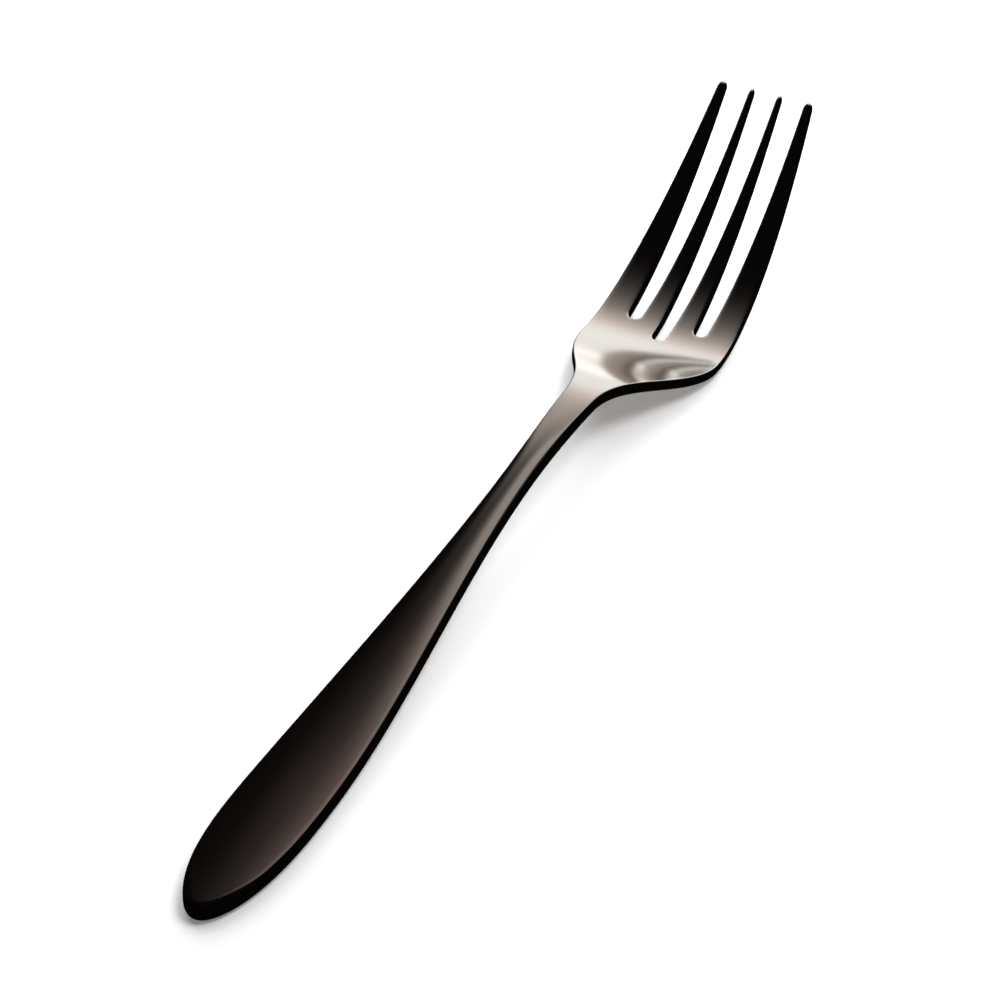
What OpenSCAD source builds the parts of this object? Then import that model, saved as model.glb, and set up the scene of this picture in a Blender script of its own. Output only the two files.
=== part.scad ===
// Dessert fork with four tines, pressed from a single strip of steel and finished in a dark mirror coat.
// It lies on the table on the flat back of its handle and on the heel of its head.
// +X runs from the handle's end to the tine tips, +Y to the fork's left and +Z up from the table.
// The seven pieces are stretches of one bar of metal: each pair meets on a shared cross-section.

/* [Handle] */
// Length from the handle's end to the slimmest part of the neck
handle_l = 99.5; // [85:0.5:115]
// Width of the handle at its broadest
handle_w = 12.8; // [10:0.1:18]
// Distance from the handle's end to its broadest part
end_l = 23; // [14:1:35]
// Fullness of the rounded end seen from above, where 2 is an ellipse
end_fullness = 2.25; // [1.7:0.05:3]
// Thickness of the handle at its broadest part
handle_t = 3.4; // [2.6:0.1:4.5]
// Rounding of the lower edges of the handle and neck, and of the handle's end all round
handle_edge = 1.1; // [0.6:0.1:1.3]
// Length over which the soft upper edge of the end sharpens into the face edge
soft_end_l = 10; // [4:1:20]
// Rise of the handle's upper face from its edges to its middle line
handle_crown = 0.35; // [0:0.05:0.8]
// Length of the flat back that lies on the table
rest_l = 28; // [18:1:45]

/* [Neck] */
// Length from the slimmest part to the start of the shoulder
neck_l = 19; // [10:0.5:30]
// Width at the slimmest part
neck_w = 4; // [3.4:0.1:7]
// Thickness at the slimmest part
neck_t = 3.4; // [2.8:0.1:5]
// Extra width of the slow flare that leads from the neck into the head
throat_w = 2.9; // [0:0.1:5]
// Height of the back above the table where the shoulder starts
arch_h = 6.9; // [4:0.1:10]

/* [Head] */
// Length from the start of the shoulder to the head's broadest part
shoulder_l = 24; // [20:0.5:36]
// Length of the shoulder over which the metal thins to the thickness of the head
thin_l = 16; // [10:0.5:24]
// How sharply the shoulder flares out, where 1.5 is a soft curve and 2.5 an abrupt one
flare_ease = 1.55; // [1.5:0.05:2.5]
// Width of the head at its broadest
head_w = 22.4; // [20:0.1:28]
// Thickness of the head at its broadest part
head_t = 1.75; // [1.4:0.05:3]
// Hollow across the head, from its rims down to its middle line
dish = 0.25; // [0:0.05:1.2]
// Distance from the broadest part to the heel, the low point that rests on the table
heel_l = 2.5; // [0:0.5:8]
// Rounding of the outer rims of the head
rim_edge = 0.7; // [0.3:0.05:0.9]

/* [Tines] */
// Length from the head's broadest part to the tips
tine_l = 42.5; // [34:0.5:55]
// Width over the tips of the two outer tines
tips_w = 15.8; // [14.6:0.1:20]
// How late the sides of the head draw in towards the tips, where 1 is straight
side_ease = 1.65; // [1.2:0.05:2.5]
// Height of the underside of the tips above the table
tip_h = 22.5; // [15:0.1:28]
// How late the tines curve upwards, where 2 is a parabola
rise_ease = 1.7; // [1.5:0.05:2.2]
// Thickness of the tines at their tips
tip_t = 1.2; // [0.8:0.05:1.8]
// Length of the rounded point at each tip
point_l = 0.8; // [0.5:0.1:3]
// Rounding of the tine edges along the slots
slot_edge = 0.3; // [0.15:0.05:0.5]

/* [Slots] */
// Distance from the head's broadest part to the round ends of the two side slots
side_slot_l = 6.5; // [3.5:0.1:12]
// How much further the middle slot reaches towards the neck
mid_slot_lead = 3.4; // [0:0.1:6]
// Width of the slots at their round ends
slot_root_w = 2.15; // [1.4:0.05:2.8]
// Width of the slots at the tips
slot_tip_w = 3.75; // [2.4:0.05:4]
// Distance from the middle line to the side slots at their round ends
slot_root_y = 5.45; // [4.4:0.05:6.4]
// Distance from the middle line to the side slots at the tips
slot_tip_y = 4.6; // [4.4:0.05:5.2]

/* [Finish] */
// Rounding of the crisp edges round the upper face
face_edge = 0.3; // [0.15:0.05:0.6]
// Colour of the dark coat
coat_color = "#2b2826"; // color

/* [Hidden] */

// Places along the fork, measured from the handle's end
neck_x = handle_l;
shoulder_x = neck_x + neck_l;
head_x = shoulder_x + shoulder_l;
thin_x = min(shoulder_x + thin_l, head_x);
heel_x = head_x + heel_l;
length = head_x + tine_l;
side_root_x = head_x + side_slot_l;
mid_root_x = side_root_x - mid_slot_lead;
root_r = slot_root_w / 2;
past_root = 0.4;
tine_x = side_root_x + root_r + past_root;
edge_run = 5;
soft_x = tine_x + edge_run;

// Fineness of the lofts: stations along each stretch, columns across it and steps round an edge
end_steps = 14;
taper_steps = 22;
neck_steps = 9;
shoulder_steps = 18;
tine_steps = 13;
point_steps = 6;
body_columns = 6;
tine_columns = 3;
edge_steps = 3;
root_steps = 6;
between_steps = 3;
slope_step = 0.05;
first_edge = 0.1;
edge_share = 0.45;
edge_width_share = 0.6;

function share(x, from, to) = min(max((x - from) / (to - from), 0), 1);
function ease(u) = u * u * (3 - 2 * u);
function flare(u) = pow(u, flare_ease) / (pow(u, flare_ease) + pow(1 - u, flare_ease));
function blend(a, b, u) = u == 1 ? b : a + (b - a) * u;

// Outline from above: an elliptic end, a smooth taper, a flared shoulder and sides that draw in to the tips
function handle_half(x) =
    x < end_l
        ? handle_w / 2 * sqrt(1 - pow(1 - x / end_l, end_fullness))
        : blend(handle_w, neck_w, ease(share(x, end_l, neck_x))) / 2;
function flare_half(x) =
    neck_w / 2
    + throat_w / 2 * ease(share(x, neck_x, head_x))
    + (head_w - neck_w - throat_w) / 2 * flare(share(x, shoulder_x, head_x));
function half_w(x) =
    x < neck_x ? handle_half(x)
    : x < head_x ? flare_half(x)
    : blend(head_w, tips_w, pow(share(x, head_x, length), side_ease)) / 2;

// Line of the back from the side: flat on the table, up over the arch, down to the heel, up to the tips
function back_z(x) =
    x < shoulder_x ? arch_h * ease(share(x, rest_l, shoulder_x))
    : x < heel_x ? arch_h * (1 - ease(share(x, shoulder_x, heel_x)))
    : tip_h * pow((x - heel_x) / (length - heel_x), rise_ease);
function tilt(x) = atan((back_z(x + slope_step) - back_z(x - slope_step)) / (2 * slope_step));

function thick(x) =
    x < neck_x ? blend(handle_t, neck_t, ease(share(x, end_l, neck_x)))
    : x < head_x ? blend(neck_t, head_t, ease(share(x, neck_x, thin_x)))
    : blend(head_t, tip_t, share(x, head_x, length));
function crown(x) = handle_crown * (1 - ease(share(x, neck_x, shoulder_x)));
function hollow(x) = dish * ease(share(x, shoulder_x, head_x)) * (1 - ease(share(x, head_x, length)));

// How far the upper and lower faces close in on each other at the rounded end and at the points
function end_pinch(x) = handle_edge - sqrt(pow(handle_edge, 2) - pow(handle_edge - x, 2));
tip_lean = tip_t / 2 * sin(tilt(length));
end_x = length + tip_lean;
point_x = end_x - point_l;
function point_size(x) = sqrt(1 - pow(share(x, point_x, end_x), 2));
function pinch(x) =
    x < handle_edge ? end_pinch(x)
    : edge_share * thick(x) * (1 - point_size(x));

// 0 on the middle line and 1 on the outline; round the handle's end it follows the curve of the end
function outward(x, y) =
    x < end_l
        ? pow(2 * y / handle_w, 2) + pow(1 - x / end_l, end_fullness)
        : pow(y / half_w(x), 2);
function upper(x, y) = thick(x) - pinch(x) + (hollow(x) - crown(x)) * outward(x, y);
function lower(x, y) = pinch(x) + hollow(x) * outward(x, y);
function room(x) = upper(x, half_w(x)) - lower(x, half_w(x));

// Rounding of the outer rims below and above, and of the tine edges, which grows out of plain slot edges
function rim_r(x) =
    min(
        blend(handle_edge, rim_edge, ease(share(x, neck_x, head_x))),
        edge_share * room(x),
        edge_width_share * half_w(x)
    );
function face_r(x) = blend(handle_edge, face_edge, ease(share(x, 0, soft_end_l)));
function slot_r(x) =
    min(
        blend(first_edge, slot_edge, ease(share(x, tine_x, soft_x))),
        edge_share * room(x)
    );

// A point at station x, y across the fork and h up from its back, square to the line of the back
function place(x, y, h) =
    [x - h * sin(tilt(x)) - length / 2, y, back_z(x) + h * cos(tilt(x))];

// A rounded edge from the wall at y inwards, above or below; side is 1 on the left and -1 on the right
function edge_above(x, y, r, side) = [
    for (i = [0:edge_steps])
        let (turn = 90 * i / edge_steps, inner = y - side * r)
        place(x, inner + side * r * cos(turn), upper(x, inner) - r * (1 - sin(turn)))
];
function edge_below(x, y, r, side) = [
    for (i = [0:edge_steps])
        let (turn = 90 * i / edge_steps, inner = y - side * r)
        place(x, inner + side * r * cos(turn), lower(x, inner) + r * (1 - sin(turn)))
];
function reversed(row) = [for (i = [len(row) - 1:-1:0]) row[i]];

// One cross-section from y = a on the left to y = b on the right, with edges of radius ra and rb below
// and crisper ones above
function section(x, a, b, ra, rb, columns) =
    let (
        fa = min(face_r(x), ra),
        fb = min(face_r(x), rb)
    )
    concat(
        edge_above(x, a, fa, 1),
        [for (j = [1:columns - 1]) let (y = blend(a - fa, b + fb, j / columns)) place(x, y, upper(x, y))],
        reversed(edge_above(x, b, fb, -1)),
        edge_below(x, b, rb, -1),
        [for (j = [columns - 1:-1:1]) let (y = blend(a - ra, b + rb, j / columns)) place(x, y, lower(x, y))],
        reversed(edge_below(x, a, ra, 1))
    );
function full_section(x) =
    section(x, half_w(x), -half_w(x), rim_r(x), rim_r(x), body_columns);

// Flat end of a ring, where each point of its upper half is paired with the one below it
function flat_end(first, n) = [
    for (j = [0:n / 2 - 2])
        each [[first + j, first + j + 1, first + n - 2 - j], [first + j, first + n - 2 - j, first + n - 1 - j]]
];
function turned(faces) = [for (face = faces) [face[2], face[1], face[0]]];

// A closed solid through a row of sections; a start or end point closes it to a nose, otherwise it is flat
module loft(rings, start_point, end_point) {
    n = len(rings[0]);
    rows = len(rings);
    start_index = n * rows;
    end_index = is_undef(start_point) ? start_index : start_index + 1;
    points = concat(
        [for (ring = rings) each ring],
        is_undef(start_point) ? [] : [start_point],
        is_undef(end_point) ? [] : [end_point]
    );
    sides = [
        for (i = [0:rows - 2]) for (j = [0:n - 1])
            let (k = (j + 1) % n, p = i * n, q = p + n)
            each [[p + j, q + k, p + k], [p + j, q + j, q + k]]
    ];
    last = n * (rows - 1);
    start_faces = is_undef(start_point)
        ? flat_end(0, n)
        : [for (j = [0:n - 1]) [start_index, j, (j + 1) % n]];
    end_faces = is_undef(end_point)
        ? turned(flat_end(last, n))
        : [for (j = [0:n - 1]) [last + (j + 1) % n, last + j, end_index]];
    polyhedron(points, concat(sides, start_faces, end_faces));
}

// Slots between the tines: half width and middle line of a slot at station x
function slot_half(x) = blend(slot_root_w, slot_tip_w, share(x, side_root_x + root_r, length)) / 2;
function side_slot_y(x) =
    x < side_root_x
        ? slot_root_y * half_w(x) / half_w(side_root_x)
        : blend(slot_root_y, slot_tip_y, (x - side_root_x) / (length - side_root_x));

// How far a slot stands open to each side of its middle line, from its round end on
function opening(x, root_x) =
    x <= root_x ? 0
    : x < root_x + root_r ? sqrt(pow(root_r, 2) - pow(root_x + root_r - x, 2))
    : slot_half(x);

// Stations of a tine: even to the point, then closing up in a quarter round
tine_stations = concat(
    [for (i = [0:tine_steps]) blend(tine_x, point_x, i / tine_steps)],
    [for (i = [1:point_steps - 1]) point_x + point_l * sin(90 * i / point_steps)]
);

function outer_tine_section(x, side) =
    let (
        rim = half_w(x),
        slot = side_slot_y(x) + slot_half(x),
        mid = (rim + slot) / 2,
        reach = (rim - slot) / 2 * point_size(x),
        r_rim = min(rim_r(x), edge_share * 2 * reach),
        r_slot = min(slot_r(x), edge_share * 2 * reach)
    )
    side > 0
        ? section(x, mid + reach, mid - reach, r_rim, r_slot, tine_columns)
        : section(x, reach - mid, -mid - reach, r_slot, r_rim, tine_columns);

function inner_tine_section(x, side) =
    let (
        from = slot_half(x),
        to = side_slot_y(x) - slot_half(x),
        mid = (from + to) / 2,
        reach = (to - from) / 2 * point_size(x),
        r = min(slot_r(x), edge_share * 2 * reach)
    )
    section(x, side * mid + reach, side * mid - reach, r, r, tine_columns);

module outer_tine(side) {
    tip_y = side * (half_w(end_x) + side_slot_y(end_x) + slot_half(end_x)) / 2;
    color(coat_color)
        loft(
            [for (x = tine_stations) outer_tine_section(x, side)],
            undef,
            place(end_x, tip_y, tip_t / 2)
        );
}

module inner_tine(side) {
    tip_y = side * side_slot_y(end_x) / 2;
    color(coat_color)
        loft(
            [for (x = tine_stations) inner_tine_section(x, side)],
            undef,
            place(end_x, tip_y, tip_t / 2)
        );
}

// Handle: pointed oval end, broad grip and a long taper into the neck
module handle() {
    stations = concat(
        [for (i = [1:end_steps]) end_l * pow(i / end_steps, 2)],
        [for (i = [1:taper_steps]) blend(end_l, neck_x, i / taper_steps)]
    );
    color(coat_color)
        loft([for (x = stations) full_section(x)], place(0, 0, (handle_t - handle_crown) / 2), undef);
}

// Neck: the slim stretch at the top of the arch
module neck() {
    color(coat_color)
        loft([for (i = [0:neck_steps]) full_section(blend(neck_x, shoulder_x, i / neck_steps))], undef, undef);
}

// Shoulder: the flared and hollowed plate that forks into four at the round ends of the slots.
// Its outline at one station is four rings, two on each side of the middle line.
function outer_ring(x) =
    let (
        rim = half_w(x),
        r = rim_r(x),
        f = min(face_r(x), r),
        slot = side_slot_y(x) + opening(x, side_root_x)
    )
    concat(
        edge_above(x, rim, f, 1),
        [for (j = [1:tine_columns]) let (y = blend(rim - f, slot, j / tine_columns)) place(x, y, upper(x, y))],
        [for (j = [tine_columns:-1:1]) let (y = blend(rim - r, slot, j / tine_columns)) place(x, y, lower(x, y))],
        reversed(edge_below(x, rim, r, 1))
    );
function inner_ring(x) =
    let (
        from = side_slot_y(x) - opening(x, side_root_x),
        to = opening(x, mid_root_x)
    )
    concat(
        [for (j = [0:tine_columns]) let (y = blend(from, to, j / tine_columns)) place(x, y, upper(x, y))],
        [for (j = [tine_columns:-1:0]) let (y = blend(from, to, j / tine_columns)) place(x, y, lower(x, y))]
    );
function mirrored(ring) = [for (p = reversed(ring)) [p.x, 0 - p.y, p.z]];

// Faces of one strip of the plate; a wall along a slot is left out where that slot is still closed
function strip_faces(first, n, walls) =
    let (last = first + n * (len(plate_stations) - 1))
    concat(
        flat_end(first, n),
        turned(flat_end(last, n)),
        [
            for (i = [0:len(plate_stations) - 2]) for (j = [0:n - 1])
                let (
                    k = (j + 1) % n,
                    p = first + i * n,
                    q = p + n,
                    shut = [for (wall = walls) if (wall[0] == j && plate_stations[i + 1] <= wall[1]) j]
                )
                if (len(shut) == 0)
                    each [[p + j, q + k, p + k], [p + j, q + j, q + k]]
        ]
    );

plate_stations = concat(
    [for (i = [0:shoulder_steps]) blend(shoulder_x, mid_root_x, i / shoulder_steps)],
    [for (i = [1:root_steps]) mid_root_x + root_r * (1 - cos(90 * i / root_steps))],
    [for (i = [1:between_steps]) blend(mid_root_x + root_r, side_root_x, i / between_steps)],
    [for (i = [1:root_steps]) side_root_x + root_r * (1 - cos(90 * i / root_steps))],
    [tine_x]
);

module shoulder() {
    outer = [for (x = plate_stations) outer_ring(x)];
    inner = [for (x = plate_stations) inner_ring(x)];
    outer_n = len(outer[0]);
    inner_n = len(inner[0]);
    rows = len(plate_stations);
    outer_wall = edge_steps + tine_columns;
    side_wall = inner_n - 1;
    inner_wall = tine_columns;
    inner_start = outer_n * rows;
    right_start = inner_start + inner_n * rows;
    right_inner_start = right_start + outer_n * rows;
    color(coat_color)
        polyhedron(
            concat(
                [for (ring = outer) each ring],
                [for (ring = inner) each ring],
                [for (ring = outer) each mirrored(ring)],
                [for (ring = inner) each mirrored(ring)]
            ),
            concat(
                strip_faces(0, outer_n, [[outer_wall, side_root_x]]),
                strip_faces(inner_start, inner_n, [[side_wall, side_root_x], [inner_wall, mid_root_x]]),
                strip_faces(right_start, outer_n, [[outer_n - 2 - outer_wall, side_root_x]]),
                strip_faces(
                    right_inner_start,
                    inner_n,
                    [[side_wall, side_root_x], [inner_n - 2 - inner_wall, mid_root_x]]
                )
            )
        );
}

module left_outer_tine() {
    outer_tine(1);
}

module left_inner_tine() {
    inner_tine(1);
}

module right_inner_tine() {
    inner_tine(-1);
}

module right_outer_tine() {
    outer_tine(-1);
}

handle();
neck();
shoulder();
left_outer_tine();
left_inner_tine();
right_inner_tine();
right_outer_tine();
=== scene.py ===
"""Dessert fork in black coated steel: a flat blank pressed to shape, on a pale studio floor."""

import math

import bmesh
import bpy
import numpy as np
from bpy.props import FloatProperty, FloatVectorProperty, PointerProperty
from bpy.types import Operator, Panel, PropertyGroup
from mathutils import Matrix, Vector


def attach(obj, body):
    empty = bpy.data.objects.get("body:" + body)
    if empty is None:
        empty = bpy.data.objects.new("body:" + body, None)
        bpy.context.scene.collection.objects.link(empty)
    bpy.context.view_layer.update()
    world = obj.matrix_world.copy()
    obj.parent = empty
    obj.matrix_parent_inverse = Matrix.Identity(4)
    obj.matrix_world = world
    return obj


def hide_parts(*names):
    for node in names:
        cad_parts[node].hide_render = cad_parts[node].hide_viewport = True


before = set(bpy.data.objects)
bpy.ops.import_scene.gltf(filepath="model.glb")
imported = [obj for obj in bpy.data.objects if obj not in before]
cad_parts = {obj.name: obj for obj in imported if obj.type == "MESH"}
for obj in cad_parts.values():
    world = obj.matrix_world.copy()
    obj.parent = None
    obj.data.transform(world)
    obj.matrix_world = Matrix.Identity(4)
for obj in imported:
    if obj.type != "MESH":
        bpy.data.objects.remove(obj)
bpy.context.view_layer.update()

bl_info = {
    "name": "Dessert Fork",
    "version": (1, 0, 0),
    "blender": (4, 5, 0),
    "location": "View3D > Sidebar > Fork",
    "description": "Cuts and presses a black steel dessert fork and sets it on a studio floor",
    "category": "Add Mesh",
}

EDGE_MARK = "edge_mark"
MM = 0.001
UP = Vector((0.0, 0.0, 1.0))

# Points of the blank that lie closer together than this, in metres, are one point.
WELD = 2e-7
# Places over which the press evens out its bends.
EASING_TAPS = 9

# Fine noise on the steel: scale, detail, and stretch along, across and up.
BRUSHED = (1.0, 4.0, (60.0, 5200.0, 900.0))
STROKES = (1.0, 2.0, (18.0, 1500.0, 300.0))
CLOUD = (38.0, 3.0, (1.0, 1.0, 1.0))
SPECKS = (2600.0, 1.0, (1.0, 1.0, 1.0))
NOISE_MIDDLE = 0.5
# How far each noise moves the roughness.
BRUSHED_SWING, STROKES_SWING, CLOUD_SWING, SPECKS_SWING = 0.1, 0.08, 0.03, 0.02
# Depth and weight of the grain, and the specks' share in it.
RELIEF_DEPTH, RELIEF_STRENGTH, SPECKS_RELIEF = 0.04 * MM, 0.06, 0.15
# The hand's hold ends between these places, counted from the middle of the fork.
HOLD_END = (-35.0 * MM, 0.0)
# Least thinning of the coat under the hand, and the part of the cloud that adds to it.
THIN_LEAST, THIN_CLOUD = 0.4, (0.4, 0.7)
# Part of the specks that shows as paler dust on the painted shade of the sides.
DUST_SPECKS = (0.4, 0.8)
# Edge marks at which the painted shade of the sides starts and is full; on the handle it starts at
# 0, so the face darkens as painted shade just inside its edge.
SHADE_START, SHADE_FULL, HANDLE_SHADE_FULL = 0.17, 0.37, 0.25

# The floor's half width in metres, and how far it lies under the fork.
FLOOR_REACH, FLOOR_DROP = 6.0, 0.05 * MM
# Where across its right-hand reach the panel's bright foot has its stated height.
PANEL_LEVEL = 0.2
# More gives a sharper turn from the panel's bright foot to its fade.
PANEL_KNEE = 3.0
# Brightness over which the panel takes on the colour of its foot.
FOOT_SHARE = (0.65, 0.97)
# The card's light across it: share of its width that brightens, how late, and the least.
CARD_RAMP, CARD_RISE, CARD_LEAST = 0.36, 3.4, 0.015
# Soft borders, as shares of the card's and of a dim sheet's size.
CARD_BORDER, WASH_BORDER = 0.25, 0.3
# The dim sheets: directions in degrees seen from above, distance and height in metres.
WASH_TURNS = {"left_wash": 115.0, "near_wash": 205.0, "right_wash": 295.0}
WASH_DISTANCE, WASH_HEIGHT = 1.2, 0.8
# Camera: sensor in millimetres, nearest and furthest visible distance in metres.
SENSOR, CLIP_START, CLIP_END = 36.0, 0.01, 20.0


def length(name, description, millimetres):
    """A size, written in millimetres and kept in metres."""
    return FloatProperty(
        name=name,
        description=description,
        default=millimetres * MM,
        min=0.0,
        precision=5,
        subtype="DISTANCE",
        unit="LENGTH",
    )


def factor(name, description, default, lowest=0.0, highest=10.0):
    """A plain number without a unit."""
    return FloatProperty(
        name=name,
        description=description,
        default=default,
        min=lowest,
        max=highest,
        subtype="FACTOR",
    )


def angle(name, description, degrees):
    """An angle, written in degrees and kept in radians."""
    return FloatProperty(
        name=name,
        description=description,
        default=math.radians(degrees),
        subtype="ANGLE",
        unit="ROTATION",
    )


def colour(name, description, default):
    """A linear colour."""
    return FloatVectorProperty(
        name=name,
        description=description,
        default=default,
        min=0.0,
        max=1.0,
        size=3,
        subtype="COLOR",
    )


class ForkBlank(PropertyGroup):
    """Sizes of the flat blank before it is pressed."""

    handle_length: length("Handle length", "From the rounded end to the neck", 99.5)
    handle_width: length("Handle width", "Across the widest part of the handle", 12.8)
    end_length: length("End length", "Rounded end of the handle, up to its widest part", 23.0)
    end_fullness: factor("End fullness", "2 gives an ellipse, more a blunter end", 2.25, 1.0, 4.0)
    handle_thickness: length("Handle thickness", "At the middle of the handle", 3.4)
    face_edge: length("Face edge", "Rounding of the crisp edges round the upper face", 0.3)
    handle_edge: length("Handle edge", "Rounding of the handle's lower edges and of its end", 1.1)
    soft_end: length("Soft end", "Stretch over which the end's soft upper edge turns crisp", 10.0)
    handle_crown: length("Handle crown", "How far the face falls from its middle to its edge", 0.35)
    neck_length: length("Neck length", "Slim stretch between handle and shoulder", 19.0)
    neck_width: length("Neck width", "Across the slimmest part", 4.0)
    neck_thickness: length("Neck thickness", "Thickness at the slimmest part", 3.4)
    throat_width: length("Throat width", "How much the neck widens before the shoulder flares", 2.9)
    shoulder_length: length("Shoulder length", "Flare from the neck to the full width", 24.0)
    thinning: length("Thinning", "Stretch of the shoulder that thins to the head's thickness", 16.0)
    shoulder_flare: factor("Shoulder flare", "More gives a shorter, rounder flare", 1.55, 1.0, 4.0)
    head_width: length("Head width", "Across the head at its widest", 22.4)
    head_thickness: length("Head thickness", "Thickness at the widest part of the head", 1.75)
    dish: length("Dish", "How far the head is hollowed across", 0.25)
    rim_edge: length("Rim edge", "Rounding of the head's lower rim", 0.7)
    tine_length: length("Tine length", "From the widest part of the head to the points", 42.5)
    tips_width: length("Tips width", "Across the four points", 15.8)
    side_draw: factor("Side draw", "How late the sides draw in towards the points", 1.65, 1.0, 4.0)
    tip_thickness: length("Tip thickness", "Thickness at the points", 1.2)
    point_length: length("Point length", "Rounding of each point", 0.8)
    slot_edge: length("Slot edge", "Rounding of the edges along the slots", 0.3)
    side_slot_start: length("Side slot start", "Head's widest part to the side slots' ends", 6.5)
    middle_slot_lead: length("Middle slot lead", "How much further the middle slot reaches", 3.4)
    slot_root_width: length("Slot root width", "Width of a slot at its round end", 2.15)
    slot_tip_width: length("Slot tip width", "Width of a slot between the points", 3.75)
    slot_root_offset: length("Slot root offset", "Middle line to a side slot's round end", 5.45)
    slot_tip_offset: length("Slot tip offset", "Middle line to a side slot, at the points", 4.6)


class ForkForm(PropertyGroup):
    """Sizes of the press that bends the blank."""

    rest_length: length("Rest length", "Flat stretch of the handle that lies on the table", 28.0)
    arch_height: length("Arch height", "Height of the back under the neck", 6.9)
    heel_length: length("Heel length", "Head's widest part to the lowest line of the bowl", 2.5)
    tip_height: length("Tip height", "Height of the back at the points", 22.5)
    rise: factor("Rise", "How late the tines turn upwards", 1.7, 1.0, 4.0)
    easing: length("Easing", "Spacing of the places over which the bends are evened out", 1.5)


class ForkFinish(PropertyGroup):
    """Colours and polish of the coated steel."""

    coat: colour("Coat", "Dark, slightly warm coat on the faces", (0.38, 0.325, 0.287))
    coat_thin: colour("Thin coat", "Browner, where handling has thinned it", (0.45, 0.315, 0.275))
    # Painted shade: the sides are coloured near black in place of the dark surroundings that they
    # reflect.
    painted_side_shade: colour("Side shade", "Dull black sides of the blank", (0.0018, 0.0016, 0.0015))
    side_shade_dust: colour("Side shade dust", "Fine paler specks on the sides", (0.0045, 0.004, 0.0037))
    glance: colour("Glance", "Tint of the steel seen at a low angle", (0.64, 0.62, 0.6))
    satin: factor("Satin", "Roughness of the handle", 0.17, 0.0, 1.0)
    polish: factor("Polish", "Roughness of the bowl", 0.16, 0.0, 1.0)
    tine_polish: factor("Tine polish", "Roughness of the tines", 0.1, 0.0, 1.0)
    cut_roughness: factor("Cut roughness", "Roughness of the sides", 0.5, 0.0, 1.0)
    grain: factor("Grain", "Depth of the brushed grain on the handle", 0.35, 0.0, 1.0)


class ForkStudio(PropertyGroup):
    """Floor, light and camera."""

    floor_colour: colour("Floor", "Pale floor", (0.86, 0.86, 0.86))
    floor_glow: factor("Floor glow", "White that the camera and reflections see", 0.2, 0.0, 1.0)
    panel_colour: colour("Panel", "Light of the panel behind the fork", (0.834, 0.838, 0.845))
    panel_foot: colour("Panel foot", "Cooler light along its foot", (0.834, 0.931, 1.0))
    panel_strength: factor("Panel strength", "Radiance of the soft panel", 2.9, 0.0, 30.0)
    panel_distance: length("Panel distance", "From the middle of the fork to the panel", 100.0)
    panel_left: length("Panel left", "Reach of the panel's foot to the left", 4.0)
    panel_lean: factor("Panel lean", "How far its left side leans out", 0.36, 0.0, 2.0)
    panel_tilt: factor("Panel tilt", "How far its foot rises to the right", 0.3, 0.0, 1.0)
    panel_right: length("Panel right", "Reach of the panel to the right", 125.0)
    panel_border: length("Panel border", "Soft border at its sides", 22.0)
    panel_full: length("Panel full height", "Height up to which it is about fully bright", 40.0)
    panel_fade: length("Panel fade", "Height over which its light falls to about a third", 24.0)
    panel_top: length("Panel top", "Height of the panel", 260.0)
    card_strength: factor("Card strength", "Light for the handle's right side", 0.76, 0.0, 20.0)
    wash_strength: factor("Wash strength", "Dim light for the other sides", 1.6, 0.0, 10.0)
    side_strength: factor("Side strength", "Radiance of the lamp to the right", 7.3, 0.0, 30.0)
    back_strength: factor("Back strength", "Radiance of the lamp behind", 2.55, 0.0, 30.0)
    world_colour: colour("Room", "Dim room around the fork", (0.005, 0.005, 0.005))
    view_turn: angle("View turn", "Direction of the camera's look, seen from above", 26.109)
    view_drop: angle("View drop", "How steeply the camera looks down", 36.959)
    view_distance: length("View distance", "From the camera to the middle of the fork", 792.748)
    view_across: length("View across", "Camera's shift to its left", 0.315)
    view_up: length("View up", "Camera's shift upwards", 5.937)
    lens: FloatProperty(
        name="Lens",
        description="Focal length of the camera",
        default=198.0,
        subtype="DISTANCE_CAMERA",
    )


class Wire:
    """A value in a node tree; a sum written with it becomes Math nodes."""

    def __init__(self, board, socket):
        self.board = board
        self.socket = socket

    def math(self, operation, *values, clamp=False):
        settings = {"operation": operation, "use_clamp": clamp}
        return self.board.add("ShaderNodeMath", settings, dict(enumerate(values)))

    def __add__(self, other):
        return self.math("ADD", self, other)

    __radd__ = __add__

    def __sub__(self, other):
        return self.math("SUBTRACT", self, other)

    def __rsub__(self, other):
        return self.math("SUBTRACT", other, self)

    def __mul__(self, other):
        return self.math("MULTIPLY", self, other)

    __rmul__ = __mul__

    def __truediv__(self, other):
        return self.math("DIVIDE", self, other)

    def __pow__(self, other):
        return self.math("POWER", self, other)

    def __rpow__(self, other):
        return self.math("POWER", other, self)

    def clamped(self):
        return self.math("ADD", self, 0.0, clamp=True)

    def at_least(self, other):
        return self.math("MAXIMUM", self, other)

    def share(self, start, end):
        """0 before start, 1 after end, even in between."""
        return ((self - start) / (end - start)).clamped()

    def eased(self):
        """A share from 0 to 1 that starts and ends softly."""
        return self * self * (3.0 - 2.0 * self)

    def fading(self, start, end):
        """1 before start, 0 after end, with a soft fall in between."""
        return 1.0 - self.share(start, end).eased()


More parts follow.
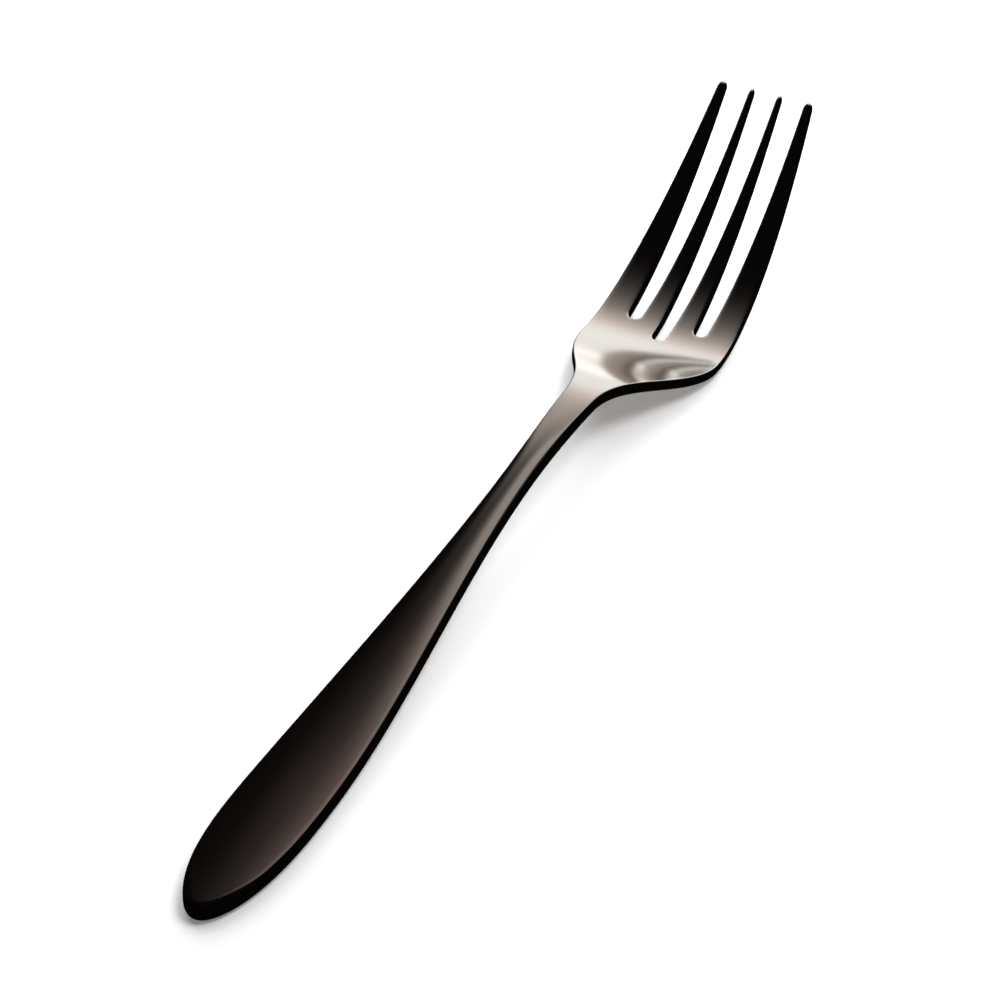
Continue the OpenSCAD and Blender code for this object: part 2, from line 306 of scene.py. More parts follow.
class Board:
    """A node tree that is filled from code."""

    def __init__(self, tree):
        self.tree = tree
        tree.nodes.clear()

    def add(self, kind, settings=None, sockets=None, output=0):
        """Adds a node: its settings first, then the values or links of its sockets."""
        node = self.tree.nodes.new(kind)
        for name, value in (settings or {}).items():
            setattr(node, name, value)
        for key, value in (sockets or {}).items():
            if isinstance(value, Wire):
                self.tree.links.new(value.socket, node.inputs[key])
            else:
                node.inputs[key].default_value = value
        return Wire(self, node.outputs[output]) if node.outputs else node

    def axes(self, vector):
        """The three numbers of a vector."""
        split = self.add("ShaderNodeSeparateXYZ", None, {0: vector}).socket.node
        return [Wire(self, split.outputs[axis]) for axis in "XYZ"]

    def mix_colour(self, share, first, second):
        """Colour between two colours."""
        sockets = {"Factor": share, 6: opaque(first), 7: opaque(second)}
        return self.add("ShaderNodeMix", {"data_type": "RGBA"}, sockets, output=2)

    def glow(self, strength, shade):
        """A shader that gives light."""
        return self.add(
            "ShaderNodeEmission", None, {"Color": opaque(shade), "Strength": strength}
        )

    def surface(self, kind, sockets):
        """Ends the tree in a shader made of two others."""
        self.add("ShaderNodeOutputMaterial", None, {"Surface": self.add(kind, None, sockets)})

    def light(self, strength, shade):
        """Ends the tree in a light that other light passes through."""
        clear = self.add("ShaderNodeBsdfTransparent")
        self.surface("ShaderNodeAddShader", {0: clear, 1: self.glow(strength, shade)})


def opaque(shade):
    """A colour with its fourth number, or a wire as it is."""
    return shade if isinstance(shade, Wire) else (*shade, 1.0)


def share(x, start, end):
    """0 before start, 1 after end, even in between."""
    return np.clip((x - start) / (end - start), 0.0, 1.0)


def ease(u):
    """A share from 0 to 1 that starts and ends softly."""
    return u * u * (3.0 - 2.0 * u)


class FlatFork:
    """The blank lying flat: x from the handle's end, y across to the left, h up from the back."""

    # Steps round an edge, columns of a face between two edges, rows of a wall.
    EDGE_STEPS, FACE_COLUMNS, WALL_ROWS = 7, 6, 2
    # Cuts across each stretch, from the handle's end to the points, and round a curve.
    END_CUTS, HANDLE_CUTS, NECK_CUTS, SHOULDER_CUTS, ROOT_CUTS, TINE_CUTS = 45, 80, 28, 56, 6, 52
    ROUND_CUTS = 10
    # Small step, in metres, for the slope of the outline.
    PROBE = 2e-6
    # Largest rounding as a share of the thickness, so that a strip of wall is left.
    ROUND_LIMIT = 0.44
    # Edge mark where the rounding meets the face; it is 1 on the wall and 0 on the face.
    FACE_MARK = 0.1

    def __init__(self, blank, form):
        self.b = b = blank
        self.neck_x = b.handle_length
        self.shoulder_x = self.neck_x + b.neck_length
        self.head_x = self.shoulder_x + b.shoulder_length
        self.thin_x = min(self.shoulder_x + b.thinning, self.head_x)
        self.length = self.head_x + b.tine_length
        self.side_root_x = self.head_x + b.side_slot_start
        self.middle_root_x = self.side_root_x - b.middle_slot_lead
        self.root_r = b.slot_root_width / 2
        self.heel_x = self.head_x + form.heel_length
        tip_slope = form.tip_height * form.rise / (self.length - self.heel_x)
        self.reach = self.length + b.tip_thickness / 2 * math.sin(math.atan(tip_slope))
        self.point_x = self.reach - b.point_length

    def half_width(self, x):
        """From the middle line to the outline."""
        b = self.b
        inside = 1.0 - np.clip(x / b.end_length, 0.0, 1.0)
        end = b.handle_width / 2 * np.sqrt(1.0 - inside**b.end_fullness)
        slimming = ease(share(x, b.end_length, self.neck_x))
        taper = (b.handle_width + (b.neck_width - b.handle_width) * slimming) / 2
        u = share(x, self.shoulder_x, self.head_x)
        flare = u**b.shoulder_flare / (u**b.shoulder_flare + (1.0 - u) ** b.shoulder_flare)
        throat = b.throat_width / 2 * ease(share(x, self.neck_x, self.head_x))
        flared = (b.head_width - b.neck_width - b.throat_width) / 2 * flare
        shoulder = b.neck_width / 2 + throat + flared
        draw = share(x, self.head_x, self.length) ** b.side_draw
        head = (b.head_width + (b.tips_width - b.head_width) * draw) / 2
        stretches = [x < b.end_length, x < self.neck_x, x < self.head_x]
        return np.select(stretches, [end, taper, shoulder], head)

    def thickness(self, x):
        """Thickness of the blank on its middle line."""
        b = self.b
        slimming = ease(share(x, b.end_length, self.neck_x))
        neck = b.handle_thickness + (b.neck_thickness - b.handle_thickness) * slimming
        head = (b.head_thickness - b.neck_thickness) * ease(share(x, self.neck_x, self.thin_x))
        tip = (b.tip_thickness - b.head_thickness) * share(x, self.head_x, self.length)
        return neck + head + tip

    def outward(self, x, y):
        """0 on the middle line and 1 on the outline; it follows the curve of the handle's end."""
        b = self.b
        inside = 1.0 - np.clip(x / b.end_length, 0.0, 1.0)
        at_end = (2 * y / b.handle_width) ** 2 + inside**b.end_fullness
        along = (y / np.maximum(self.half_width(x), self.PROBE)) ** 2
        return np.clip(np.where(x < b.end_length, at_end, along), 0.0, 1.0)

    def upper(self, x, y):
        """Height of the upper face: crowned on the handle, hollow on the head."""
        b = self.b
        crown = b.handle_crown * (1.0 - ease(share(x, self.neck_x, self.shoulder_x)))
        return self.thickness(x) + (self.hollow(x) - crown) * self.outward(x, y)

    def lower(self, x, y):
        """Height of the back, which follows the hollow of the head."""
        return self.hollow(x) * self.outward(x, y)

    def hollow(self, x):
        """How far the outline stands above the middle line."""
        rising = ease(share(x, self.shoulder_x, self.head_x))
        return self.b.dish * rising * (1.0 - ease(share(x, self.head_x, self.length)))

    def stations(self):
        """Places of the cuts across the blank, close together at the ends and round the slots."""
        b, turn = self.b, np.linspace(0.0, math.pi / 2, self.ROUND_CUTS)
        middle_round = self.middle_root_x + self.root_r * (1.0 - np.cos(turn))
        side_round = self.side_root_x + self.root_r * (1.0 - np.cos(turn))
        middle_start, side_start = self.middle_root_x - b.slot_edge, self.side_root_x - b.slot_edge
        return np.concatenate(
            [
                b.end_length * np.linspace(0.0, 1.0, self.END_CUTS) ** 2,
                np.linspace(b.end_length, self.neck_x, self.HANDLE_CUTS)[1:],
                np.linspace(self.neck_x, self.shoulder_x, self.NECK_CUTS)[1:],
                np.linspace(self.shoulder_x, middle_start, self.SHOULDER_CUTS)[1:],
                middle_round,
                np.linspace(middle_round[-1], side_start, self.ROOT_CUTS)[1:],
                side_round,
                np.linspace(side_round[-1], self.point_x, self.TINE_CUTS)[1:],
                self.point_x + b.point_length * np.sin(turn[1:]),
            ]
        )

    def face_round(self, x):
        """Rounding of the upper outer edge."""
        b = self.b
        return b.handle_edge + (b.face_edge - b.handle_edge) * ease(share(x, 0.0, b.soft_end))

    def back_round(self, x):
        """Rounding of the lower outer edge."""
        b = self.b
        towards_head = ease(share(x, self.neck_x, self.head_x))
        return b.handle_edge + (b.rim_edge - b.handle_edge) * towards_head

    def rim(self, x, rounding):
        """Outline of the left side: points, directions out of the steel and rounding."""
        y = self.half_width(x)
        before, after = np.maximum(x - self.PROBE, 0.0), x + self.PROBE
        slope = (self.half_width(after) - self.half_width(before)) / (after - before)
        out = np.stack([-slope, np.ones_like(x)], axis=1)
        out[x == 0.0] = (-1.0, 0.0)
        out /= np.linalg.norm(out, axis=1, keepdims=True)
        limit = self.ROUND_LIMIT * self.thickness(x)
        return np.stack([x, y], axis=1), out, np.minimum(rounding, limit)

    def slot(self, x, root_x, offsets, side):
        """Wall of a slot from its round end on; side is +1 if the steel lies to its left."""
        b = self.b
        run = self.length - root_x
        lean = (offsets[1] - offsets[0]) / run
        straight_run = self.length - self.side_root_x - self.root_r
        widen = (b.slot_tip_width - b.slot_root_width) / 2 / straight_run
        cos = np.clip((root_x + self.root_r - x) / self.root_r, 0.0, 1.0)
        sin = np.sqrt(1.0 - cos**2)
        straight = self.root_r + widen * np.maximum(x - self.side_root_x - self.root_r, 0.0)
        half = np.where(cos > 0.0, self.root_r * sin, straight)
        y = offsets[0] + lean * (x - root_x) + side * half
        spread = np.where(x > self.side_root_x + self.root_r, widen, 0.0)
        along = np.stack([sin, (lean + side * spread) * sin + side * cos], axis=1)
        out = side * np.stack([along[:, 1], -along[:, 0]], axis=1)
        out /= np.linalg.norm(out, axis=1, keepdims=True)
        return np.stack([x, y], axis=1), out, np.where(x >= root_x, b.slot_edge, 0.0)

    def edge_columns(self, points, out, radius):
        """Points from the wall inwards round the rounding, and each one's drop below the face."""
        turn = np.linspace(0.0, math.pi / 2, self.EDGE_STEPS + 1)
        inwards = radius[:, None] * (1.0 - np.cos(turn))
        drop = radius[:, None] * (1.0 - np.sin(turn))
        return points[:, None, :] - inwards[:, :, None] * out[:, None, :], drop

    def strip(self, first, second):
        """Grid of points between two edges, and their drop."""
        (first_xy, first_drop), (second_xy, second_drop) = first, second
        across = np.linspace(0.0, 1.0, self.FACE_COLUMNS + 1)[1:-1][None, :, None]
        face = first_xy[:, -1:, :] * (1.0 - across) + second_xy[:, -1:, :] * across
        xy = np.concatenate([first_xy, face, second_xy[:, ::-1]], axis=1)
        level = np.zeros(face.shape[:2])
        drop = np.concatenate([first_drop, level, second_drop[:, ::-1]], axis=1)
        return xy, drop

    def left_strips(self, x, rounding):
        """Outer and inner strip of the left half, and the stations where their edges are shut."""
        b = self.b
        rim = self.edge_columns(*self.rim(x, rounding))
        side_offsets = (b.slot_root_offset, b.slot_tip_offset)
        outer_wall = list(self.slot(x, self.side_root_x, side_offsets, 1))
        inner_wall = list(self.slot(x, self.side_root_x, side_offsets, -1))
        middle_wall = list(self.slot(x, self.middle_root_x, (0.0, 0.0), 1))
        shut_side, shut_middle = x < self.side_root_x, x < self.middle_root_x
        inner_rim = rim[0][:, -1]
        square = ease(share(x, self.neck_x, self.shoulder_x))
        line_x = inner_rim[:, 0] * (1.0 - square) + x * square
        line_y = inner_rim[:, 1] * b.slot_root_offset / inner_rim[shut_side][-1, 1]
        for wall, shut, y in (
            (outer_wall, shut_side, line_y),
            (inner_wall, shut_side, line_y),
            (middle_wall, shut_middle, np.zeros_like(x)),
        ):
            wall[0] = np.where(shut[:, None], np.stack([line_x, y], axis=1), wall[0])
        outer = self.strip(rim, self.edge_columns(*outer_wall))
        inner = self.strip(self.edge_columns(*inner_wall), self.edge_columns(*middle_wall))
        never_shut = np.zeros_like(shut_side)
        return (outer, never_shut, shut_side), (inner, shut_side, shut_middle)

    def cut(self):
        """Points, faces and edge marks of the whole blank, both halves, walls included."""
        points, marks, faces = [], [], []
        count = 0

        def grid(sheet, mark, keep, flip):
            nonlocal count
            rows, columns = sheet.shape[:2]
            index = count + np.arange(rows * columns).reshape(rows, columns)
            corners = [index[:-1, :-1], index[:-1, 1:], index[1:, 1:], index[1:, :-1]]
            quads = np.stack(corners, axis=-1)[keep]
            points.append(sheet.reshape(-1, 3))
            marks.append(mark.reshape(-1))
            faces.append(quads[:, ::-1] if flip else quads)
            count += rows * columns

        x = self.stations()
        tops = self.left_strips(x, self.face_round(x))
        backs = self.left_strips(x, self.back_round(x))
        closing = np.sqrt(1.0 - share(x, self.point_x, self.reach) ** 2)[:, None]
        turn = np.linspace(0.0, math.pi / 2, self.EDGE_STEPS + 1)
        bend = 1.0 - (1.0 - self.FACE_MARK) * np.sin(turn)
        rows = np.linspace(0.0, 1.0, self.WALL_ROWS + 1)[None, :, None]
        for (face, first_shut, second_shut), (back, _, _) in zip(tops, backs):
            height = self.upper(face[0][..., 0], face[0][..., 1]) - face[1]
            depth = self.lower(back[0][..., 0], back[0][..., 1]) + back[1]
            middle_y = (face[0][:, :1, 1] + face[0][:, -1:, 1]) / 2
            middle_h = (height[:, :1] + depth[:, :1]) / 2
            keep = np.ones((len(x) - 1, height.shape[1] - 1), bool)
            keep[first_shut[:-1], : self.EDGE_STEPS] = False
            keep[second_shut[:-1], -self.EDGE_STEPS :] = False
            mark = np.zeros_like(height)
            mark[:, : self.EDGE_STEPS + 1] = np.where(first_shut[:, None], 0.0, bend)
            mark[:, -self.EDGE_STEPS - 1 :] = np.where(second_shut[:, None], 0.0, bend[::-1])
            for side in (1.0, -1.0):
                upper, lower = (
                    np.stack(
                        [
                            x[:, None] + (xy[..., 0] - x[:, None]) * closing,
                            side * (middle_y + (xy[..., 1] - middle_y) * closing),
                            middle_h + (h - middle_h) * closing,
                        ],
                        axis=-1,
                    )
                    for xy, h in ((face[0], height), (back[0], depth))
                )
                grid(upper, mark, keep, side < 0)
                grid(lower, mark, keep, side > 0)
                for column, shut, flip in ((0, first_shut, side > 0), (-1, second_shut, side < 0)):
                    wall = upper[:, column, None] + (lower - upper)[:, column, None] * rows
                    open_rows = np.repeat(~shut[:-1, None], self.WALL_ROWS, axis=1)
                    grid(wall, np.ones(wall.shape[:2]), open_rows, flip)
        return np.concatenate(points), np.concatenate(marks), np.concatenate(faces)


def blank_mesh(name, flat):
    """The blank as one closed mesh with an edge mark on its points."""
    points, marks, faces = flat.cut()
    mesh = bpy.data.meshes.new(name)
    mesh.from_pydata(points.tolist(), [], faces.tolist())
    attribute = mesh.attributes.new(EDGE_MARK, "FLOAT", "POINT")
    attribute.data.foreach_set("value", marks.astype(np.float32))
    sheet = bmesh.new()
    sheet.from_mesh(mesh)
    bmesh.ops.delete(sheet, geom=[v for v in sheet.verts if not v.link_faces], context="VERTS")
    bmesh.ops.remove_doubles(sheet, verts=sheet.verts, dist=WELD)
    if any(not edge.is_manifold for edge in sheet.edges):
        raise RuntimeError("the fork's blank is not closed")
    sheet.to_mesh(mesh)
    sheet.free()
    return mesh


LINE_SIZES = ("Rest Length", "Shoulder", "Heel", "Length", "Arch Height", "Tip Height", "Rise")


def back_line_tree():
    """Node group for the line of the back: its height and slope at a place along the fork."""
    tree = bpy.data.node_groups.new("Fork Back Line", "GeometryNodeTree")
    names = ("Place", *LINE_SIZES)
    for name in names:
        tree.interface.new_socket(name, in_out="INPUT", socket_type="NodeSocketFloat")
    for name in ("Height", "Slope"):
        tree.interface.new_socket(name, in_out="OUTPUT", socket_type="NodeSocketFloat")
    board = Board(tree)
    inputs = tree.nodes.new("NodeGroupInput").outputs
    wires = (Wire(board, inputs[name]) for name in names)
    place, rest, shoulder, heel, end, arch, tip, rise = wires
    climb, fall = place.share(rest, shoulder), place.share(shoulder, heel)
    sweep = ((place - heel) / (end - heel)).at_least(0.0)
    height = arch * (climb.eased() - fall.eased()) + tip * sweep**rise
    # An eased share u has the slope 6 u (1 - u).
    climbing = climb * (1.0 - climb) / (shoulder - rest)
    falling = fall * (1.0 - fall) / (heel - shoulder)
    sweeping = tip * rise / (end - heel) * sweep ** (rise - 1.0)
    slope = 6.0 * arch * (climbing - falling) + sweeping
    board.add("NodeGroupOutput", None, {"Height": height, "Slope": slope})
    return tree


def press_tree():
    """Node tree that bends a flat blank along the line of the back."""
    line = back_line_tree()
    tree = bpy.data.node_groups.new("Fork Press", "GeometryNodeTree")
    tree.interface.new_socket("Geometry", in_out="INPUT", socket_type="NodeSocketGeometry")
    sizes = (*LINE_SIZES, "Easing")
    for name in sizes:
        tree.interface.new_socket(name, in_out="INPUT", socket_type="NodeSocketFloat")
    tree.interface.new_socket("Material", in_out="INPUT", socket_type="NodeSocketMaterial")
    tree.interface.new_socket("Geometry", in_out="OUTPUT", socket_type="NodeSocketGeometry")
    board = Board(tree)
    inputs = tree.nodes.new("NodeGroupInput").outputs
    wires = {name: Wire(board, inputs[name]) for name in ("Geometry", "Material", *sizes)}
    x, y, h = board.axes(board.add("GeometryNodeInputPosition"))
    height, slope, last = 0.0, 0.0, EASING_TAPS - 1
    for tap in range(EASING_TAPS):
        weight = math.comb(last, tap) / 2**last
        sockets = {name: wires[name] for name in LINE_SIZES}
        sockets["Place"] = x + wires["Easing"] * (tap - last / 2)
        group = board.add("GeometryNodeGroup", {"node_tree": line}, sockets).socket.node
        height = Wire(board, group.outputs["Height"]) * weight + height
        slope = Wire(board, group.outputs["Slope"]) * weight + slope
    run = (slope * slope + 1.0) ** 0.5
    bent = board.add(
        "ShaderNodeCombineXYZ",
        None,
        {"X": x - h * slope / run - wires["Length"] / 2, "Y": y, "Z": height + h / run},
    )
    geometry = wires["Geometry"]
    for kind, sockets in (
        ("GeometryNodeSetPosition", {"Position": bent}),
        ("GeometryNodeSetShadeSmooth", {}),
        ("GeometryNodeRealizeInstances", {}),
        ("GeometryNodeSetMaterial", {"Material": wires["Material"]}),
    ):
        geometry = board.add(kind, None, {"Geometry": geometry, **sockets})
    board.add("NodeGroupOutput", None, {"Geometry": geometry})
    return tree


def press(obj, values):
    """Runs the press on an object and keeps the result as a plain mesh."""
    tree = press_tree()
    modifier = obj.modifiers.new("Press", "NODES")
    modifier.node_group = tree
    for item in tree.interface.items_tree:
        if item.item_type == "SOCKET" and item.in_out == "INPUT" and item.name in values:
            modifier[item.identifier] = values[item.name]
    evaluated = obj.evaluated_get(bpy.context.evaluated_depsgraph_get())
    flat_mesh, pressed_mesh = obj.data, bpy.data.meshes.new_from_object(evaluated)
    obj.modifiers.remove(modifier)
    obj.data = pressed_mesh
    bpy.data.meshes.remove(flat_mesh)
    obj.data.name = obj.name


def new_material(name):
    """An empty material and the board for its nodes."""
    material = bpy.data.materials.new(name)
    material.use_nodes = True
    return material, Board(material.node_tree)


def black_steel(finish, flat):
    """Black coated steel: brushed satin handle, polished head, thinned coat, and matt near-black
    sides that reflect nothing, which are painted shade in place of the dark reflections on the
    sides.
    """
    material, board = new_material("black_coated_steel")
    place = board.add("ShaderNodeTexCoord", output="Object")
    along = board.axes(place)[0]
    edge = board.add("ShaderNodeAttribute", {"attribute_name": EDGE_MARK}, output="Fac")
    neck, head, roots = (
        value - flat.length / 2
        for value in (flat.neck_x, flat.head_x, flat.side_root_x + flat.root_r)
    )
    on_head, on_tines = along.share(neck, head).eased(), along.share(head, roots).eased()

    def noise(scale, detail, stretch):
        spread = board.add("ShaderNodeMapping", None, {"Vector": place, "Scale": stretch})
        sockets = {"Vector": spread, "Scale": scale, "Detail": detail}
        return board.add("ShaderNodeTexNoise", {"noise_dimensions": "3D"}, sockets)

    def swing(value, size):
        return size * (value - NOISE_MIDDLE)

    brushed, strokes, cloud, specks = (noise(*n) for n in (BRUSHED, STROKES, CLOUD, SPECKS))
    held = along.fading(*HOLD_END)
    thinned = (THIN_LEAST + (1.0 - THIN_LEAST) * cloud.share(*THIN_CLOUD)) * held
    # Share of the painted shade on the sides, from the edge mark; on the handle it reaches into the
    # rounding next to the face.
    shade_full = SHADE_FULL - (SHADE_FULL - HANDLE_SHADE_FULL) * held
    side = edge.share(SHADE_START * (1.0 - held), shade_full).eased()
    satin = finish.satin + swing(brushed, BRUSHED_SWING) + swing(strokes, STROKES_SWING)
    polish = finish.polish + (finish.tine_polish - finish.polish) * on_tines
    polish = polish + swing(cloud, CLOUD_SWING) + swing(specks, SPECKS_SWING)
    relief = brushed * (1.0 - on_head) * finish.grain + specks * SPECKS_RELIEF
    bump = board.add(
        "ShaderNodeBump",
        None,
        {"Strength": RELIEF_STRENGTH, "Distance": RELIEF_DEPTH, "Height": relief},
    )
    face = board.add(
        "ShaderNodeBsdfPrincipled",
        None,
        {
            "Base Color": board.mix_colour(thinned, finish.coat, finish.coat_thin),
            "Metallic": 1.0,
            "Roughness": satin * (1.0 - on_head) + polish * on_head,
            "Specular Tint": opaque(finish.glance),
            "Normal": bump,
        },
    )
    # The sides get a matt shader of near-black painted shade that reflects nothing; the dust mark
    # lightens a few specks of it.
    dust = specks.share(*DUST_SPECKS)
    side_shade_shader = board.add(
        "ShaderNodeBsdfPrincipled",
        None,
        {
            "Base Color": board.mix_colour(dust, finish.painted_side_shade, finish.side_shade_dust),
            "Roughness": finish.cut_roughness,
            "Specular IOR Level": 0.0,
            "Normal": bump,
        },
    )
    board.surface("ShaderNodeMixShader", {0: side, 1: face, 2: side_shade_shader})
    return material


def pale_floor(studio):
    """Matt pale floor that shows the camera and reflections a share of white."""
    material, board = new_material("pale_floor")
    path = board.add("ShaderNodeLightPath").socket.node
    camera, glossy, through = (
        Wire(board, path.outputs[f"Is {kind} Ray"]) for kind in ("Camera", "Glossy", "Transmission")
    )
    seen = (camera + glossy + through).clamped()
    paint = board.add("ShaderNodeBsdfDiffuse", None, {"Color": opaque(studio.floor_colour)})
    glow = board.glow(seen * studio.floor_glow, (1.0, 1.0, 1.0))
    board.surface("ShaderNodeAddShader", {0: paint, 1: glow})
    return material


def soft_panel(studio):
    """Light of the panel: full along its foot, fading out upwards and at its sides."""
    material, board = new_material("soft_panel")
    x, y, height = board.axes(board.add("ShaderNodeTexCoord", output="Object"))
    right = x * math.sin(studio.view_turn) - y * math.cos(studio.view_turn)
    full = studio.panel_full + studio.panel_tilt * (right - studio.panel_right * PANEL_LEVEL)
    fade = math.e ** ((full - height) / studio.panel_fade)
    fade = fade / (1.0 + fade**PANEL_KNEE) ** (1.0 / PANEL_KNEE)
    leaned = right + studio.panel_lean * height + studio.panel_left
    left_side = leaned.share(0.0, studio.panel_border).eased()
    right_side = right.fading(studio.panel_right - studio.panel_border, studio.panel_right)
    foot = fade.share(*FOOT_SHARE).eased()
    shade = board.mix_colour(foot, studio.panel_colour, studio.panel_foot)
    board.light(fade * left_side * right_side * studio.panel_strength, shade)
    return material


def edge_card(studio):
    """Light of the card: it grows from its left side and is soft at the other three."""
    material, board = new_material("edge_card")
    u, v, _ = board.axes(board.add("ShaderNodeTexCoord", output="UV"))
    grown = u.share(0.0, CARD_RAMP) ** CARD_RISE + CARD_LEAST
    across = grown * u.fading(1.0 - CARD_BORDER, 1.0)
    upwards = v.share(0.0, CARD_BORDER).eased() * v.fading(1.0 - CARD_BORDER, 1.0)
    board.light(across * upwards * studio.card_strength, studio.panel_colour)
    return material


def room_wash(studio):
    """Light of a dim standing sheet: strongest low down, soft at its ends."""
    material, board = new_material("room_wash")
    u, v, _ = board.axes(board.add("ShaderNodeTexCoord", output="UV"))
    across = u.share(0.0, WASH_BORDER).eased() * u.fading(1.0 - WASH_BORDER, 1.0)
    board.light(across * (1.0 - v).eased() * studio.wash_strength, studio.panel_colour)
    return material


def direction(turn, rise):
    """Unit vector at an angle seen from above and an angle above the floor."""
    flat = math.cos(rise)
    return Vector((flat * math.cos(turn), flat * math.sin(turn), math.sin(rise)))


def soft_lamp(name, radiance, turn, rise, distance, size):
    """A square soft lamp that looks at the fork and isn't reflected; its angles are in degrees."""
    towards = direction(math.radians(turn), math.radians(rise))
    lamp = bpy.data.lights.new(name, "AREA")
    lamp.shape = "SQUARE"
    lamp.size = size
    lamp.energy = math.pi * size**2 * radiance
    obj = bpy.data.objects.new(name, lamp)
    obj.location = towards * distance
    obj.rotation_euler = (-towards).to_track_quat("-Z", "Y").to_euler()
    obj.visible_camera = False
    obj.visible_glossy = False
    bpy.context.collection.objects.link(obj)


def flat_sheet(name, corners, material):
    """A flat four-sided sheet of the stage."""
    mesh = bpy.data.meshes.new(name)
    mesh.from_pydata([tuple(corner) for corner in corners], [], [(0, 1, 2, 3)])
    spread = mesh.uv_layers.new(name="sheet")
    spread.data.foreach_set("uv", (0.0, 0.0, 1.0, 0.0, 1.0, 1.0, 0.0, 1.0))
    mesh.materials.append(material)
    obj = bpy.data.objects.new(name, mesh)
    bpy.context.collection.objects.link(obj)
    return obj


def hang_light(name, corners, material):
    """A lit sheet that the camera doesn't see and that throws no shadow."""
    obj = flat_sheet(name, corners, material)
    obj.visible_camera = False
    obj.visible_shadow = False
    return obj


def sheet_corners(centre, wide, tall):
    """Corners of a sheet round its centre; wide and tall reach to its sides."""
    left, right = centre - wide, centre + wide
    return [left - tall, right - tall, right + tall, left + tall]


def standing_corners(left, right, height):
    """Corners of an upright sheet that stands between two places on the floor."""
    top = UP * height
    return [left, right, right + top, left + top]


def lay_floor(studio):
    """The pale floor, a hair's breadth under the fork."""
    wide, deep = Vector((FLOOR_REACH, 0.0, 0.0)), Vector((0.0, FLOOR_REACH, 0.0))
    flat_sheet("floor", sheet_corners(-UP * FLOOR_DROP, wide, deep), pale_floor(studio))


def to_the_right(studio):
    """Unit vector to the camera's right."""
    return Vector((math.sin(studio.view_turn), -math.cos(studio.view_turn), 0.0))


def hang_panel(studio):
    """The soft panel beyond the fork, across the camera's look."""
    right = to_the_right(studio)
    ahead = direction(studio.view_turn, 0.0) * studio.panel_distance
    left_reach = studio.panel_left + studio.panel_lean * studio.panel_top
    left_side, right_side = ahead - right * left_reach, ahead + right * studio.panel_right
    corners = standing_corners(left_side, right_side, studio.panel_top)
    hang_light("soft_panel", corners, soft_panel(studio))


def hang_card(studio, turn, rise, distance, half_width, half_height):
    """The card that the handle's right side reflects; its angles are in degrees."""
    towards = direction(math.radians(turn), math.radians(rise))
    across = towards.cross(UP).normalized()
    wide, tall = across * half_width, across.cross(towards) * half_height
    hang_light("edge_card", sheet_corners(towards * distance, wide, tall), edge_card(studio))


def stand_washes(studio):
    """Three dim sheets round the fork, which are seen only in reflections."""
    wash = room_wash(studio)
    for name, turn in WASH_TURNS.items():
        centre = direction(math.radians(turn), 0.0) * WASH_DISTANCE
        wide = centre.cross(UP)
        corners = standing_corners(centre - wide, centre + wide, WASH_HEIGHT)
        hang_light(name, corners, wash).visible_diffuse = False


def dim_room(studio):
    """The room beyond the lights."""
    world = bpy.data.worlds.new("dim_room")
    world.use_nodes = True
    background = world.node_tree.nodes["Background"]
    background.inputs["Color"].default_value = opaque(studio.world_colour)
    return world


def place_camera(studio):
    """The camera of the photo."""
    right, look = to_the_right(studio), direction(studio.view_turn, -studio.view_drop)
    up = right.cross(look)
    camera = bpy.data.objects.new("camera", bpy.data.cameras.new("camera"))
    camera.data.lens = studio.lens
    camera.data.sensor_width = SENSOR
    camera.data.clip_start, camera.data.clip_end = CLIP_START, CLIP_END
    place = up * studio.view_up - right * studio.view_across - look * studio.view_distance
    turned = Matrix((right, up, -look)).transposed().to_4x4()
    camera.matrix_world = Matrix.Translation(place) @ turned
    bpy.context.collection.objects.link(camera)
    return camera


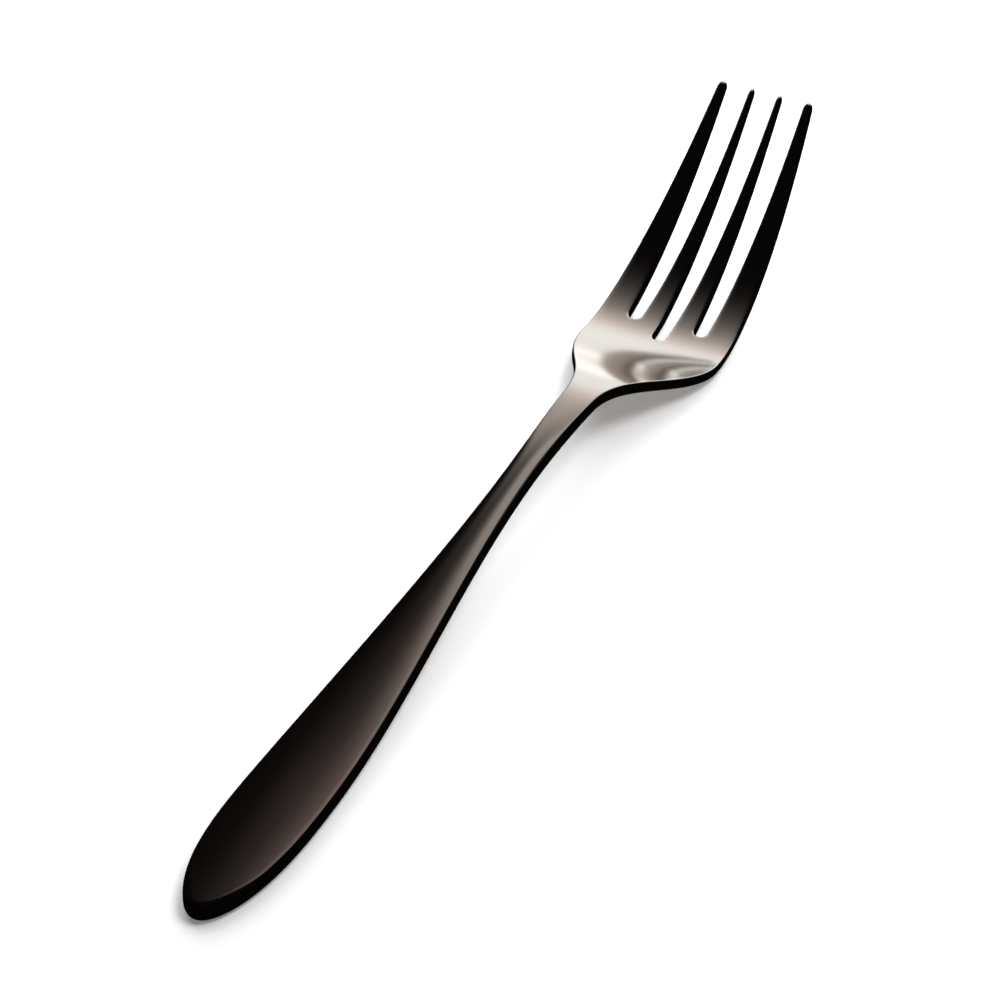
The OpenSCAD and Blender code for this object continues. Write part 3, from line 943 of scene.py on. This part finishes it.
class FORK_OT_body(Operator):
    """Cut the fork's blank and press it to shape"""

    bl_idname = "fork.body"
    bl_label = "Fork"

    def execute(self, context):
        scene = context.scene
        flat, form = FlatFork(scene.fork_blank, scene.fork_form), scene.fork_form
        fork = bpy.data.objects.new("fork", blank_mesh("fork_blank", flat))
        context.collection.objects.link(fork)
        press(
            fork,
            {
                "Rest Length": form.rest_length,
                "Shoulder": flat.shoulder_x,
                "Heel": flat.heel_x,
                "Length": flat.length,
                "Arch Height": form.arch_height,
                "Tip Height": form.tip_height,
                "Rise": form.rise,
                "Easing": form.easing,
                "Material": black_steel(scene.fork_finish, flat),
            },
        )
        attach(fork, "root")
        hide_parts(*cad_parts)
        return {"FINISHED"}


class FORK_OT_stage(Operator):
    """Lay the floor, set the light and place the camera"""

    bl_idname = "fork.stage"
    bl_label = "Studio"

    def execute(self, context):
        scene, studio = context.scene, context.scene.fork_studio
        lay_floor(studio)
        hang_panel(studio)
        hang_card(studio, turn=0.0, rise=48.0, distance=1.5, half_width=0.7, half_height=0.42)
        stand_washes(studio)
        side, back = studio.side_strength, studio.back_strength
        soft_lamp("side_light", side, turn=-60.0, rise=65.0, distance=1.2, size=0.6)
        soft_lamp("back_light", back, turn=30.0, rise=38.0, distance=1.4, size=1.8)
        scene.world = dim_room(studio)
        scene.view_settings.view_transform = "Standard"
        scene.camera = place_camera(studio)
        return {"FINISHED"}


class FORK_PT_sidebar(Panel):
    """Sizes, finish and studio of the fork"""

    bl_idname = "FORK_PT_sidebar"
    bl_label = "Dessert Fork"
    bl_space_type = "VIEW_3D"
    bl_region_type = "UI"
    bl_category = "Fork"

    def draw(self, context):
        layout = self.layout
        for operator in (FORK_OT_body, FORK_OT_stage):
            layout.operator(operator.bl_idname)
        for name in GROUPS:
            box = layout.box()
            group = getattr(context.scene, name)
            for prop in group.__annotations__:
                box.prop(group, prop)


GROUPS = {
    "fork_blank": ForkBlank,
    "fork_form": ForkForm,
    "fork_finish": ForkFinish,
    "fork_studio": ForkStudio,
}
CLASSES = (*GROUPS.values(), FORK_OT_body, FORK_OT_stage, FORK_PT_sidebar)


def register():
    for cls in CLASSES:
        bpy.utils.register_class(cls)
    for name, group in GROUPS.items():
        setattr(bpy.types.Scene, name, PointerProperty(type=group))


def unregister():
    for name in GROUPS:
        delattr(bpy.types.Scene, name)
    for cls in reversed(CLASSES):
        bpy.utils.unregister_class(cls)


def main():
    register()
    bpy.ops.fork.body()
    bpy.ops.fork.stage()


if __name__ == "__main__":
    main()
